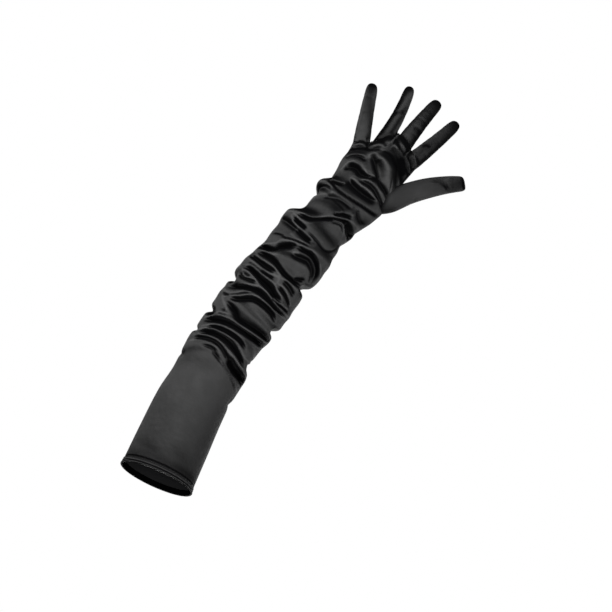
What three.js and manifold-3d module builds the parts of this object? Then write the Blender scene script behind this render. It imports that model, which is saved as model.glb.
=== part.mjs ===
// A long satin evening glove, worn and gathered along the forearm, in millimetres.
// +Z runs up the arm from the hem to the fingers, +X points to the thumb side and
// -Y is the back of the hand. The origin is the centre of the opening at the hem.

import * as THREE from "three";
import { mergeVertices } from "three/addons/utils/BufferGeometryUtils.js";
import Module from "manifold-3d";

// Driving dimensions
const SLEEVE_LENGTH = 345; // hem to wrist
const HAND_LENGTH = 108; // wrist to the roots of the fingers
const ARM_WIDTH = 76;
const ARM_DEPTH = 73;
const PALM_WIDTH = 69;
const PALM_DEPTH = 43;
const INDEX_LENGTH = 72;
const MIDDLE_LENGTH = 69;
const RING_LENGTH = 71;
const LITTLE_LENGTH = 70;
const FINGER_WIDTH = 20;
const FINGER_DEPTH = 16;
const THUMB_LENGTH = 90;
const THUMB_WIDTH = 23;
const THUMB_DEPTH = 20;
const CLOTH = 1.3; // wall of the satin
const HEM_HEIGHT = 7; // width of the turned band
const HEM_THICKNESS = 2.4;
const SEAM_GAP = 0.3; // between pieces that are sewn together
const FOLD_DEPTH = 4;
const FOLD_WIDTH = 4.2;
const GUSSET_WIDTH = 6.5; // strip between two fingers
const ROOT_RISE = 12; // how far the line of the finger roots arches up in its middle
const FINGER_CURL = 3; // turn of the tips to the palm side, in degrees
const THUMB_CURL = 6;

// How finely each form is divided
const AROUND_ARM = 26;
const CUFF_ROWS = 7;
const GATHERED_ROWS = 40;
const HAND_ROWS = 13;
const AROUND_FINGER = 10;
const AROUND_THUMB = 12;
const FOLD_STEPS = 18;

const ARM = { width: ARM_WIDTH, depth: ARM_DEPTH };
const PALM = { width: PALM_WIDTH, depth: PALM_DEPTH };

// Sections of the arm and the hand. at is 0 at the hem, 1 at the wrist and 2 at the
// finger roots. centre and wide are shares of the width, deep is a share of the depth.
const SECTIONS = [
  { at: 0.0, of: ARM, centre: 0, wide: 1, deep: 1 },
  { at: 0.12, of: ARM, centre: -0.092, wide: 0.983, deep: 0.995 },
  { at: 0.24, of: ARM, centre: -0.178, wide: 0.955, deep: 0.965 },
  { at: 0.32, of: ARM, centre: -0.201, wide: 0.924, deep: 0.937 },
  { at: 0.4, of: ARM, centre: -0.236, wide: 0.962, deep: 0.95 },
  { at: 0.478, of: ARM, centre: -0.275, wide: 0.905, deep: 0.93 },
  { at: 0.536, of: ARM, centre: -0.256, wide: 0.945, deep: 0.93 },
  { at: 0.6, of: ARM, centre: -0.235, wide: 0.97, deep: 0.93 },
  { at: 0.676, of: ARM, centre: -0.229, wide: 0.98, deep: 0.92 },
  { at: 0.72, of: ARM, centre: -0.213, wide: 0.95, deep: 0.915 },
  { at: 0.78, of: ARM, centre: -0.16, wide: 0.93, deep: 0.89 },
  { at: 0.85, of: ARM, centre: -0.141, wide: 0.935, deep: 0.86 },
  { at: 0.9, of: ARM, centre: -0.155, wide: 0.925, deep: 0.825 },
  { at: 0.945, of: ARM, centre: -0.113, wide: 0.86, deep: 0.77 },
  { at: 1.03, of: PALM, centre: -0.035, wide: 0.93, deep: 1.16 },
  { at: 1.09, of: PALM, centre: -0.11, wide: 1.02, deep: 1.13 },
  { at: 1.16, of: PALM, centre: -0.05, wide: 0.94, deep: 1.1 },
  { at: 1.3, of: PALM, centre: 0.055, wide: 0.92, deep: 1.03 },
  { at: 1.5, of: PALM, centre: 0.065, wide: 0.98, deep: 0.95 },
  { at: 1.8, of: PALM, centre: 0.085, wide: 0.99, deep: 0.83 },
  { at: 2.0, of: PALM, centre: 0.104, wide: 1.01, deep: 0.62 },
];

// The edge of the hand between the fingers closes in these steps: how far up past the
// roots, as a share of the depth of the palm, and how deep the section still is.
const ROOT_CLOSING = [
  { rise: 0.07, deep: 0.54 },
  { rise: 0.12, deep: 0.38 },
  { rise: 0.145, deep: 0.18 },
  { rise: 0.15, deep: 0.03 },
];

// Folds. Each follows a line of [angle, station]: angle 0 is the back of the hand, 90 the
// thumb side and -90 the little finger's side. deep and wide are shares of the fold sizes.
const FRONT_FOLDS = [
  { line: [[-120, 0.364], [-90, 0.366], [-55, 0.375]], deep: 0.6, wide: 1 },
  { line: [[-75, 0.385], [-30, 0.398], [5, 0.372], [50, 0.345], [100, 0.335]], deep: 0.35, wide: 0.7 },
  { line: [[60, 0.3], [95, 0.298], [130, 0.3]], deep: 0.5, wide: 1 },
  { line: [[-115, 0.41], [-45, 0.42], [-18, 0.423], [25, 0.385], [75, 0.372], [115, 0.375]], deep: 0.8, wide: 1 },
  { line: [[-118, 0.446], [-30, 0.44], [0, 0.437], [38, 0.414], [70, 0.393]], deep: 0.85, wide: 0.9 },
  { line: [[-60, 0.455], [-19, 0.465], [20, 0.458], [45, 0.429]], deep: 0.75, wide: 0.8 },
  { line: [[-85, 0.474], [-42, 0.481], [5, 0.489], [70, 0.509], [120, 0.525]], deep: 1, wide: 1 },
  { line: [[60, 0.43], [95, 0.435], [130, 0.43]], deep: 1.3, wide: 2 },
  { line: [[-135, 0.525], [-92, 0.519], [-60, 0.508], [-24, 0.509]], deep: 1.6, wide: 1 },
  { line: [[-60, 0.54], [-36, 0.538], [-16, 0.518], [24, 0.516], [70, 0.541], [90, 0.56]], deep: 1, wide: 0.9 },
  { line: [[50, 0.585], [92, 0.577], [130, 0.58]], deep: 1.8, wide: 1.3 },
  { line: [[-50, 0.558], [-21, 0.574], [5, 0.592], [45, 0.59], [65, 0.575]], deep: 0.75, wide: 1.2 },
  { line: [[-85, 0.573], [-41, 0.572], [-8, 0.61]], deep: 0.5, wide: 0.7 },
  { line: [[-85, 0.6], [-37, 0.605], [-2, 0.625], [41, 0.612], [69, 0.618], [115, 0.61]], deep: 1, wide: 0.9 },
  { line: [[-135, 0.645], [-92, 0.638], [-50, 0.625]], deep: 1.6, wide: 1.1 },
  { line: [[-50, 0.647], [-27, 0.638], [-12, 0.641]], deep: 0.6, wide: 0.7 },
  { line: [[-115, 0.694], [-45, 0.674], [-5, 0.656], [35, 0.627], [85, 0.64]], deep: 1.1, wide: 0.9 },
  { line: [[15, 0.672], [35, 0.667], [58, 0.648]], deep: 0.6, wide: 0.7 },
  { line: [[-80, 0.694], [-35, 0.685], [5, 0.683]], deep: 0.65, wide: 0.7 },
  { line: [[20, 0.696], [60, 0.688], [90, 0.7]], deep: 0.6, wide: 0.8 },
  { line: [[-70, 0.71], [-19, 0.701], [5, 0.699]], deep: 0.7, wide: 0.7 },
  { line: [[-75, 0.722], [-25, 0.727], [7, 0.716], [46, 0.734], [70, 0.725]], deep: 1, wide: 0.9 },
  { line: [[50, 0.735], [92, 0.748], [135, 0.75]], deep: 2.3, wide: 1.4 },
  { line: [[-115, 0.765], [-52, 0.745], [-18, 0.79], [20, 0.814], [55, 0.8], [72, 0.755]], deep: 1.1, wide: 1.1 },
  { line: [[-80, 0.81], [-35, 0.817], [16, 0.836]], deep: 0.5, wide: 0.6 },
  { line: [[-60, 0.873], [-29, 0.861], [0, 0.845], [18, 0.85]], deep: 1, wide: 0.8 },
  { line: [[-60, 0.89], [-6, 0.872], [39, 0.859], [65, 0.915], [68, 0.95], [45, 0.97]], deep: 0.75, wide: 0.7 },
  { line: [[60, 0.96], [92, 0.97], [130, 0.965]], deep: 0.7, wide: 1 },
  { line: [[-55, 0.899], [-12, 0.908], [11, 0.954], [39, 0.988], [100, 0.992]], deep: 1, wide: 0.9 },
  { line: [[-140, 0.985], [-92, 0.988], [-50, 0.985]], deep: 1.7, wide: 2.1 },
  { line: [[-80, 1.0], [-70, 1.06], [-68, 1.12]], deep: 0.5, wide: 0.8 },
  { line: [[25, 1.137], [38, 1.085], [75, 1.09]], deep: 0.6, wide: 0.8 },
  { line: [[-135, 1.225], [-90, 1.215], [-45, 1.2]], deep: 1.2, wide: 1.2 },
  { line: [[-110, 1.2], [-80, 1.185], [-45, 1.157], [-10, 1.142], [35, 1.206], [75, 1.27]], deep: 0.9, wide: 0.8 },
  { line: [[-28, 1.292], [5, 1.283], [32, 1.31]], deep: 0.75, wide: 0.9 },
  { line: [[-65, 1.35], [-46, 1.47], [-25, 1.5], [-9, 1.453]], deep: 0.9, wide: 1 },
  { line: [[-9, 1.455], [14, 1.488], [40, 1.41], [80, 1.335]], deep: 0.9, wide: 0.9 },
  { line: [[-80, 1.56], [-39, 1.637], [-24, 1.626]], deep: 0.5, wide: 0.9 },
  { line: [[-22, 1.69], [-5, 1.59], [18, 1.5]], deep: 0.8, wide: 0.9 },
  { line: [[-45, 1.752], [-15, 1.785], [15, 1.83], [50, 1.74], [66, 1.62], [62, 1.48]], deep: 0.9, wide: 1 },
];

// The palm side of the arm, out of the photo's view, carries plain gathers of the same kind.
const BACK_FOLDS = [
  { line: [[105, 0.36], [160, 0.385], [215, 0.365]], deep: 0.6, wide: 1 },
  { line: [[125, 0.43], [180, 0.41], [240, 0.435]], deep: 0.9, wide: 1 },
  { line: [[110, 0.47], [170, 0.485], [225, 0.465]], deep: 0.9, wide: 0.9 },
  { line: [[130, 0.53], [190, 0.515], [245, 0.54]], deep: 1, wide: 1 },
  { line: [[105, 0.575], [165, 0.585], [225, 0.57]], deep: 0.8, wide: 1 },
  { line: [[120, 0.62], [185, 0.635], [245, 0.62]], deep: 1, wide: 0.9 },
  { line: [[105, 0.67], [160, 0.685], [220, 0.67]], deep: 0.9, wide: 0.9 },
  { line: [[125, 0.73], [185, 0.72], [245, 0.735]], deep: 1, wide: 1 },
  { line: [[100, 0.785], [160, 0.79], [225, 0.8]], deep: 0.9, wide: 1 },
  { line: [[120, 0.85], [180, 0.84], [250, 0.855]], deep: 1, wide: 1 },
  { line: [[105, 0.905], [165, 0.9], [230, 0.91]], deep: 0.9, wide: 0.9 },
  { line: [[125, 0.98], [185, 0.965], [240, 0.985]], deep: 0.8, wide: 0.9 },
  { line: [[120, 1.09], [180, 1.07], [240, 1.1]], deep: 0.6, wide: 1 },
];

// The line of the finger roots across the hand: side is -1 at the little finger's edge
// and 1 at the index finger's, and rise is a share of its arch.
const ROOT_LINE = [
  { at: -1, rise: -2.1 },
  { at: -0.65, rise: -1.5 },
  { at: -0.05, rise: 0.75 },
  { at: 0.57, rise: 0.2 },
  { at: 1, rise: -1.1 },
];

// Fingers. root is the middle of a finger's root across the palm, as a share of its width,
// and rise its height on the arch. lean turns the finger to the thumb side and bend curves
// it further, in degrees. girth is a share of the finger's width and depth.
const FINGERS = [
  { name: "little", root: -0.44, rise: -1.45, lean: -23, bend: 4, length: LITTLE_LENGTH, girth: 0.93 },
  { name: "ring", root: -0.16, rise: 0, lean: 0, bend: -14, length: RING_LENGTH, girth: 0.87 },
  { name: "middle", root: 0.135, rise: 0.5, lean: 2, bend: 6, length: MIDDLE_LENGTH, girth: 1 },
  { name: "index", root: 0.4, rise: -0.3, lean: 17, bend: -6, length: INDEX_LENGTH, girth: 0.96 },
];

// A finger's width and depth from its root to its tip
const FINGER_SECTIONS = [
  { at: 0, wide: 1, deep: 1 },
  { at: 0.2, wide: 0.93, deep: 0.94 },
  { at: 0.45, wide: 0.84, deep: 0.86 },
  { at: 0.7, wide: 0.76, deep: 0.78 },
  { at: 0.86, wide: 0.7, deep: 0.7 },
  { at: 0.945, wide: 0.58, deep: 0.56 },
  { at: 0.99, wide: 0.34, deep: 0.32 },
];

// The thumb, from inside the hand to its squared tip
const THUMB_SECTIONS = [
  { at: -0.25, wide: 1.12, deep: 1.15 },
  { at: 0, wide: 1.14, deep: 1.15 },
  { at: 0.25, wide: 1.03, deep: 1.05 },
  { at: 0.5, wide: 0.97, deep: 0.96 },
  { at: 0.75, wide: 0.85, deep: 0.84 },
  { at: 0.93, wide: 0.74, deep: 0.68 },
  { at: 0.985, wide: 0.62, deep: 0.4 },
];
const THUMB_ROOT = { at: 1.47, side: 0.5 };
const THUMB_LEAN = 30;
const THUMB_BEND = 18;

// One value of a table at a place between its rows, on a smooth curve
function along(table, value, at) {
  const last = table.length - 1;
  let i = 0;
  while (i < last - 1 && at > table[i + 1].at) i++;
  const slope = (k) => {
    const before = table[Math.max(k - 1, 0)];
    const after = table[Math.min(k + 1, last)];
    return (value(after) - value(before)) / (after.at - before.at);
  };
  const step = table[i + 1].at - table[i].at;
  const t = THREE.MathUtils.clamp((at - table[i].at) / step, 0, 1);
  const rest = 1 - t;
  const ends = value(table[i]) * rest * rest * (1 + 2 * t) + value(table[i + 1]) * t * t * (3 - 2 * t);
  return ends + step * t * rest * (slope(i) * rest - slope(i + 1) * t);
}

const heightAt = (at) => Math.min(at, 1) * SLEEVE_LENGTH + Math.max(at - 1, 0) * HAND_LENGTH;
const centreAt = (at) => along(SECTIONS, (row) => row.centre * row.of.width, at);
const halfWidthAt = (at) => along(SECTIONS, (row) => (row.wide * row.of.width) / 2, at);
const halfDepthAt = (at) => along(SECTIONS, (row) => (row.deep * row.of.depth) / 2, at);

// How far the arm leans to the thumb side at a station
const LEAN_STEP = 0.01;
function leanAt(at) {
  const side = centreAt(at + LEAN_STEP) - centreAt(at - LEAN_STEP);
  return Math.atan2(side, heightAt(at + LEAN_STEP) - heightAt(at - LEAN_STEP));
}

// A fold's line in millimetres around and up the arm, rounded through its points
function foldCurve({ line, deep, wide }) {
  const across = (angle) => (THREE.MathUtils.degToRad(angle) * ARM_WIDTH) / 2;
  const points = line.map(([angle, at]) => new THREE.Vector3(across(angle), heightAt(at), 0));
  const curve = new THREE.CatmullRomCurve3(points, false, "centripetal");
  return { points: curve.getPoints(FOLD_STEPS), deep: deep * FOLD_DEPTH, wide: wide * FOLD_WIDTH };
}

const FOLDS = [...FRONT_FOLDS, ...BACK_FOLDS].map(foldCurve);
const FOLD_ENDS = 0.2; // share of a fold's length over which each end runs out
const FOLD_SHARPNESS = 1.5;
const FOLD_JOINING = 4; // where folds meet, the deeper one wins

// How far one fold sinks the cloth at an angle round the arm, in radians, and a height
function sunkByFold(fold, angle, height) {
  const turn = Math.PI * ARM_WIDTH;
  const middle = fold.points[FOLD_STEPS / 2].x;
  let x = (angle * ARM_WIDTH) / 2;
  x -= turn * Math.round((x - middle) / turn);
  let nearest = Infinity;
  let place = 0;
  for (let i = 0; i < FOLD_STEPS; i++) {
    const a = fold.points[i];
    const b = fold.points[i + 1];
    const dx = b.x - a.x;
    const dy = b.y - a.y;
    const t = THREE.MathUtils.clamp(((x - a.x) * dx + (height - a.y) * dy) / (dx * dx + dy * dy), 0, 1);
    const far = Math.hypot(x - a.x - t * dx, height - a.y - t * dy);
    if (far < nearest) {
      nearest = far;
      place = (i + t) / FOLD_STEPS;
    }
  }
  const ends = THREE.MathUtils.smoothstep(Math.min(place, 1 - place), 0, FOLD_ENDS);
  return fold.deep * ends * Math.exp(-Math.pow(nearest / fold.wide, FOLD_SHARPNESS));
}

function sunk(angle, at) {
  const height = heightAt(at);
  const sum = FOLDS.reduce((all, fold) => all + sunkByFold(fold, angle, height) ** FOLD_JOINING, 0);
  return sum ** (1 / FOLD_JOINING);
}

// The rows of the hand bend more and more to the arched line of the finger roots
const ARCH_START = 1.45;
function rootArch(side, at) {
  const grows = THREE.MathUtils.smoothstep(at, ARCH_START, 2);
  return grows * ROOT_RISE * along(ROOT_LINE, (row) => row.rise, side);
}

// A point of the arm's or the hand's surface, inset into the hollow. The inset is square
// to the cloth, so it grows on a fold's steep side.
const SLOPE_STEP = 0.004;
const ROOT_EDGE = 0.4; // half the thickness of the edge between the fingers
function armPoint(angle, station, inset, deep = 1, rise = 0) {
  const lean = leanAt(station);
  const run = heightAt(station + SLOPE_STEP) - heightAt(station - SLOPE_STEP);
  const slope = (sunk(angle, station + SLOPE_STEP) - sunk(angle, station - SLOPE_STEP)) / run;
  const pull = sunk(angle, station) + inset * Math.hypot(1, slope);
  const halfWidth = halfWidthAt(station) - pull;
  const halfDepth = Math.max((halfDepthAt(station) - pull) * deep, ROOT_EDGE);
  const side = Math.sin(angle) * halfWidth;
  const arch = rootArch(Math.sin(angle), station);
  return new THREE.Vector3(
    centreAt(station) + side * Math.cos(lean),
    -Math.cos(angle) * halfDepth,
    heightAt(station) + rise + arch - side * Math.sin(lean),
  );
}

// A closed skin over rings of points, each ring of one length. The first ring is closed
// flat and the last one as close says, or with no close the last one joins the first.
function skin(rings, close) {
  const count = rings[0].length;
  const points = rings.flat();
  const total = points.length;
  const faces = [];
  for (let r = 0; r < rings.length - (close ? 1 : 0); r++) {
    for (let i = 0; i < count; i++) {
      const a = r * count + i;
      const b = r * count + ((i + 1) % count);
      const c = (b + count) % total;
      const d = (a + count) % total;
      faces.push(a, b, c, a, c, d);
    }
  }
  if (close) {
    for (let i = 1; i < count - 1; i++) faces.push(0, i + 1, i);
    close(faces, points, total - count, count);
  }
  const positions = points.flatMap((p) => [p.x, p.y, p.z]);
  const geometry = new THREE.BufferGeometry();
  geometry.setAttribute("position", new THREE.Float32BufferAttribute(positions, 3));
  geometry.setIndex(faces);
  return geometry;
}

// Closes a flat oval along its long middle line
function closeAlongLine(faces, points, first, count) {
  for (let i = 0; i < count / 2; i++) {
    const a = first + i;
    const b = first + i + 1;
    const c = first + ((count - i - 1) % count);
    const d = first + ((count - i) % count);
    if (b !== c) faces.push(a, b, c);
    if (a !== d) faces.push(a, c, d);
  }
}

// Closes a ring to a point at its middle
function closeToPoint(tip) {
  return (faces, points, first, count) => {
    points.push(tip);
    for (let i = 0; i < count; i++) faces.push(first + i, first + ((i + 1) % count), points.length - 1);
  };
}

const wasm = await Module();
wasm.setup();

function solidOf(geometry) {
  const bare = new THREE.BufferGeometry();
  bare.setAttribute("position", geometry.getAttribute("position"));
  bare.setIndex(geometry.getIndex());
  const merged = mergeVertices(bare, 1e-4);
  const vertProperties = new Float32Array(merged.getAttribute("position").array);
  const triVerts = new Uint32Array(merged.getIndex().array);
  return new wasm.Manifold(new wasm.Mesh({ numProp: 3, vertProperties, triVerts }));
}

function geometryOf(solid) {
  const { vertProperties, triVerts } = solid.getMesh();
  const geometry = new THREE.BufferGeometry();
  geometry.setAttribute("position", new THREE.Float32BufferAttribute(vertProperties, 3));
  geometry.setIndex(Array.from(triVerts));
  return geometry;
}

// The filled form of the arm and the hand from a lowest station up, sunk by inset
const CUFF_END = 0.31;
const LEFT_EDGE = -Math.PI / 2;
function armForm(lowest, inset) {
  const angles = Array.from({ length: AROUND_ARM }, (_, i) => LEFT_EDGE + (i / AROUND_ARM) * 2 * Math.PI);
  const ring = (at, deep, rise) => angles.map((angle) => armPoint(angle, at, inset, deep, rise));
  const rings = [];
  for (let i = 0; i < CUFF_ROWS; i++) {
    rings.push(ring(THREE.MathUtils.lerp(lowest, CUFF_END, i / CUFF_ROWS)));
  }
  for (let i = 0; i < GATHERED_ROWS; i++) rings.push(ring(THREE.MathUtils.lerp(CUFF_END, 1, i / GATHERED_ROWS)));
  for (let i = 0; i <= HAND_ROWS; i++) rings.push(ring(1 + i / HAND_ROWS));
  const full = SECTIONS.at(-1).deep;
  for (const { rise, deep } of ROOT_CLOSING) rings.push(ring(2, deep / full, rise * PALM_DEPTH - inset));
  return solidOf(skin(rings, closeAlongLine));
}

// A point of the middle line of a finger or thumb, which starts at root
function digitPlace({ root, length, lean, bend, curl }, at, inset = 0) {
  const turned = THREE.MathUtils.degToRad(lean + (bend * at) / 2);
  const reach = length * at - (at > TIP_START ? inset : 0);
  const back = Math.sin(THREE.MathUtils.degToRad(curl)) * reach * Math.max(at, 0);
  return new THREE.Vector3(root.x + reach * Math.sin(turned), back, root.z + reach * Math.cos(turned));
}

// A filled finger or thumb, sunk by inset
const TIP_START = 0.9;
function digitForm(digit, inset) {
  const { lean, bend, width, depth, sections, sides } = digit;
  const rings = [];
  for (const { at, wide, deep } of sections) {
    const middle = digitPlace(digit, at, inset);
    const facing = THREE.MathUtils.degToRad(lean + bend * at);
    const across = new THREE.Vector3(Math.cos(facing), 0, -Math.sin(facing));
    const halfWidth = (wide * width) / 2 - inset;
    const halfDepth = (deep * depth) / 2 - inset;
    const ring = [];
    for (let i = 0; i < sides; i++) {
      const angle = LEFT_EDGE + (i / sides) * 2 * Math.PI;
      const point = middle.clone().addScaledVector(across, Math.sin(angle) * halfWidth);
      point.y -= Math.cos(angle) * halfDepth;
      ring.push(point);
    }
    rings.push(ring);
  }
  return solidOf(skin(rings, closeToPoint(digitPlace(digit, 1, inset))));
}

// The fingers and the thumb as digits of real size, each starting inside the hand
const FINGER_START = { at: -0.26, wide: 0.8, deep: 0.95 };
const fingers = FINGERS.map(({ root, rise, length, lean, bend, girth }) => ({
  root: new THREE.Vector3(centreAt(2) + root * PALM_WIDTH, 0, heightAt(2) + rise * ROOT_RISE),
  length,
  lean,
  bend,
  curl: FINGER_CURL,
  width: FINGER_WIDTH * girth,
  depth: FINGER_DEPTH * girth,
  sections: [FINGER_START, ...FINGER_SECTIONS],
  sides: AROUND_FINGER,
}));

const thumb = {
  root: new THREE.Vector3(centreAt(THUMB_ROOT.at) + THUMB_ROOT.side * PALM_WIDTH, 0, heightAt(THUMB_ROOT.at)),
  length: THUMB_LENGTH,
  lean: THUMB_LEAN,
  bend: THUMB_BEND,
  curl: THUMB_CURL,
  width: THUMB_WIDTH,
  depth: THUMB_DEPTH,
  sections: THUMB_SECTIONS,
  sides: AROUND_THUMB,
};

// The filled form of the whole glove but the thumb
function handForm(lowest, inset) {
  return fingers.reduce((form, finger) => form.add(digitForm(finger, inset)), armForm(lowest, inset));
}

// The strip of cloth between two fingers lies in a plate that runs up both middle lines
const GUSSET_END = 0.87;
const GUSSET_START = -0.12;
const GUSSET_STEPS = 6;
function gussetPlate(left, right, grow) {
  const line = (digit) =>
    Array.from({ length: GUSSET_STEPS + 1 }, (_, i) => {
      const end = GUSSET_END + grow / digit.length;
      const place = digitPlace(digit, THREE.MathUtils.lerp(GUSSET_START, end, i / GUSSET_STEPS));
      return new THREE.Vector2(place.x, place.z);
    });
  const shape = new THREE.Shape([...line(right), ...line(left).reverse()]);
  const depth = GUSSET_WIDTH + 2 * grow;
  const plate = new THREE.ExtrudeGeometry(shape, { depth, bevelEnabled: false });
  plate.translate(0, -heightAt(2), -depth / 2);
  plate.rotateX(Math.PI / 2 - THREE.MathUtils.degToRad(FINGER_CURL) / 2);
  plate.translate(0, 0, heightAt(2));
  return solidOf(plate);
}

// The turned band at the hem: up is a share of its height, out of its thickness
const BAND_PROFILE = [
  { up: 0, out: -0.3 },
  { up: 0.16, out: -0.5 },
  { up: 1, out: -0.5 },
  { up: 1, out: 0.45 },
  { up: 0.84, out: 0.6 },
  { up: 0.16, out: 0.6 },
  { up: 0, out: 0.3 },
];
function hemBand() {
  const rings = Array.from({ length: AROUND_ARM }, (_, i) => {
    const angle = LEFT_EDGE + (i / AROUND_ARM) * 2 * Math.PI;
    return BAND_PROFILE.map(({ up, out }) =>
      armPoint(angle, (up * HEM_HEIGHT) / SLEEVE_LENGTH, -out * HEM_THICKNESS),
    );
  });
  return skin(rings);
}

const satin = new THREE.MeshStandardMaterial({ color: 0x161617, roughness: 0.38, metalness: 0 });
const hemSatin = new THREE.MeshStandardMaterial({ color: 0x101011, roughness: 0.45, metalness: 0 });
const glove = new THREE.Group();

function addPiece(name, geometry, material) {
  const piece = new THREE.Mesh(geometry, material);
  piece.name = name;
  glove.add(piece);
}

const sleeveStart = (HEM_HEIGHT + SEAM_GAP) / SLEEVE_LENGTH;
const hollow = handForm(-sleeveStart, CLOTH);
const thumbHollow = digitForm(thumb, CLOTH);
const shell = handForm(sleeveStart, 0).subtract(hollow).subtract(thumbHollow);

let body = shell;
fingers.slice(1).forEach((right, i) => {
  const left = fingers[i];
  const name = `gusset_${FINGERS[i].name}_${FINGERS[i + 1].name}`;
  addPiece(name, geometryOf(shell.intersect(gussetPlate(left, right, 0))), satin);
  body = body.subtract(gussetPlate(left, right, SEAM_GAP));
});
addPiece("glove_body", geometryOf(body), satin);
addPiece("hem_band", hemBand(), hemSatin);
const handSkin = handForm(sleeveStart, -SEAM_GAP);
addPiece("thumb", geometryOf(digitForm(thumb, 0).subtract(thumbHollow).subtract(handSkin)), satin);

export default glove;
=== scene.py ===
# The look of a long satin evening glove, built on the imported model's frame.
# Millimetres are used for the forms and turned to metres where a mesh is made.

import math

import bpy
import numpy as np
from mathutils import Matrix, Vector


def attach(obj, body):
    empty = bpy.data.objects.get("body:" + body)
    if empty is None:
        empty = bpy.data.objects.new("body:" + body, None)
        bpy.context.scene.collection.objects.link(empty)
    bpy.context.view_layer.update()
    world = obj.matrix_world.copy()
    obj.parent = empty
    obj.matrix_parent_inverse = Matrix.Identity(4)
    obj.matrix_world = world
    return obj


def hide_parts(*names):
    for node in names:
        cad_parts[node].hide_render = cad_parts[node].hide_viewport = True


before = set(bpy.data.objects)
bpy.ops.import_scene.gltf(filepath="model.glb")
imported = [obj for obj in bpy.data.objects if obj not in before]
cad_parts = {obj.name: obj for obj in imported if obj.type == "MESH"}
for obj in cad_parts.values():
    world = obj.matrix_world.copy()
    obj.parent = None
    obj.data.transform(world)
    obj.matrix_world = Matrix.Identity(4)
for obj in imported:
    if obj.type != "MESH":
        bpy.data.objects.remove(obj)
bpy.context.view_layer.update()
MM = 0.001

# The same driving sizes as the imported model's
SLEEVE_LENGTH = 345.0
HAND_LENGTH = 108.0
ARM_WIDTH = 76.0
ARM_DEPTH = 73.0
PALM_WIDTH = 69.0
PALM_DEPTH = 43.0
FINGER_WIDTH = 20.0
FINGER_DEPTH = 16.0
THUMB_LENGTH = 90.0
THUMB_WIDTH = 23.0
THUMB_DEPTH = 20.0
HEM_HEIGHT = 7.0
ROOT_RISE = 12.0
FINGER_CURL = math.radians(3)
THUMB_CURL = math.radians(6)
WALL = 0.8
LEAN_SPAN = 70.0
ARCH_START = 1.45
ROOT_HEIGHT = SLEEVE_LENGTH + HAND_LENGTH

# The camera, as the photo was taken, turned so that the arm runs to the upper right
TILT = math.radians(20)
ROLL = math.radians(34.1)
CAMERA_AT = np.array([27.2, -1863.2, -436.2])
SHEET_AWAY = 1900.0
FORWARD = np.array([0, math.cos(TILT), math.sin(TILT)])
LEVEL = np.array([1.0, 0, 0])
UPRIGHT = np.array([0, -math.sin(TILT), math.cos(TILT)])

# Stations along the glove: 0 at the hem, 1 at the wrist and 2 at the finger roots. A row has
# its station, the size that it takes shares of, the middle's place and the width as shares
# of that width, and the depth as a share of that depth.
ARM, PALM = (ARM_WIDTH, ARM_DEPTH), (PALM_WIDTH, PALM_DEPTH)
SECTIONS = [
    (0.0, ARM, 0, 1, 1),
    (0.12, ARM, -0.092, 0.983, 0.995),
    (0.24, ARM, -0.178, 0.955, 0.965),
    (0.32, ARM, -0.201, 0.924, 0.937),
    (0.4, ARM, -0.236, 0.962, 0.95),
    (0.478, ARM, -0.275, 0.905, 0.93),
    (0.536, ARM, -0.256, 0.945, 0.93),
    (0.6, ARM, -0.235, 0.97, 0.93),
    (0.676, ARM, -0.229, 0.98, 0.92),
    (0.72, ARM, -0.213, 0.95, 0.915),
    (0.78, ARM, -0.16, 0.93, 0.89),
    (0.85, ARM, -0.141, 0.935, 0.86),
    (0.9, ARM, -0.155, 0.925, 0.825),
    (0.914, ARM, -0.15, 0.91, 0.81),
    (0.942, ARM, -0.08, 0.75, 0.785),
    (0.972, ARM, -0.038, 0.785, 0.755),
    (1.02, PALM, -0.022, 0.87, 1.19),
    (1.1, PALM, -0.036, 0.98, 1.13),
    (1.18, PALM, -0.01, 1.03, 1.09),
    (1.3, PALM, 0.055, 0.92, 1.03),
    (1.5, PALM, 0.065, 0.98, 0.95),
    (1.8, PALM, 0.085, 0.99, 0.83),
    (2.0, PALM, 0.104, 1.01, 0.62),
]
# The line of the finger roots, from the little finger's side at -1 to the thumb side at 1,
# and its height in ROOT_RISEs
ROOT_LINE = [(-1, -2.1), (-0.65, -1.5), (-0.05, 0.75), (0.57, 0.2), (1, -1.1)]

# Fingers: root across the palm, rise on the arch, lean, bend, length, girth
FINGERS = {
    "little": (-0.44, -1.45, -23, 4, 70.0, 0.93),
    "ring": (-0.16, 0.0, 0, -14, 71.0, 0.87),
    "middle": (0.135, 0.5, 2, 6, 69.0, 1.0),
    "index": (0.4, -0.3, 17, -6, 72.0, 0.96),
}
# Digits: the share of the length, and the width and depth there as shares of the digit's own
FINGER_SECTIONS = [
    (-0.26, 1.02, 1.03),
    (0, 1, 1),
    (0.2, 0.93, 0.94),
    (0.45, 0.84, 0.86),
    (0.7, 0.76, 0.78),
    (0.86, 0.7, 0.7),
    (0.945, 0.58, 0.56),
    (0.985, 0.36, 0.34),
    (1.0, 0.06, 0.06),
]
THUMB_SECTIONS = [
    (-0.25, 0.6, 0.62),
    (-0.12, 0.98, 0.98),
    (0, 1.14, 1.12),
    (0.25, 1.03, 1.05),
    (0.5, 0.97, 0.96),
    (0.75, 0.85, 0.84),
    (0.93, 0.76, 0.7),
    (0.975, 0.68, 0.5),
    (0.995, 0.52, 0.26),
    (1.0, 0.3, 0.08),
]
# The thumb's root: its station, and its place as a share of the palm's width
THUMB_ROOT = (1.47, 0.5)
THUMB_LEAN = 30
THUMB_BEND = 18

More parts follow.
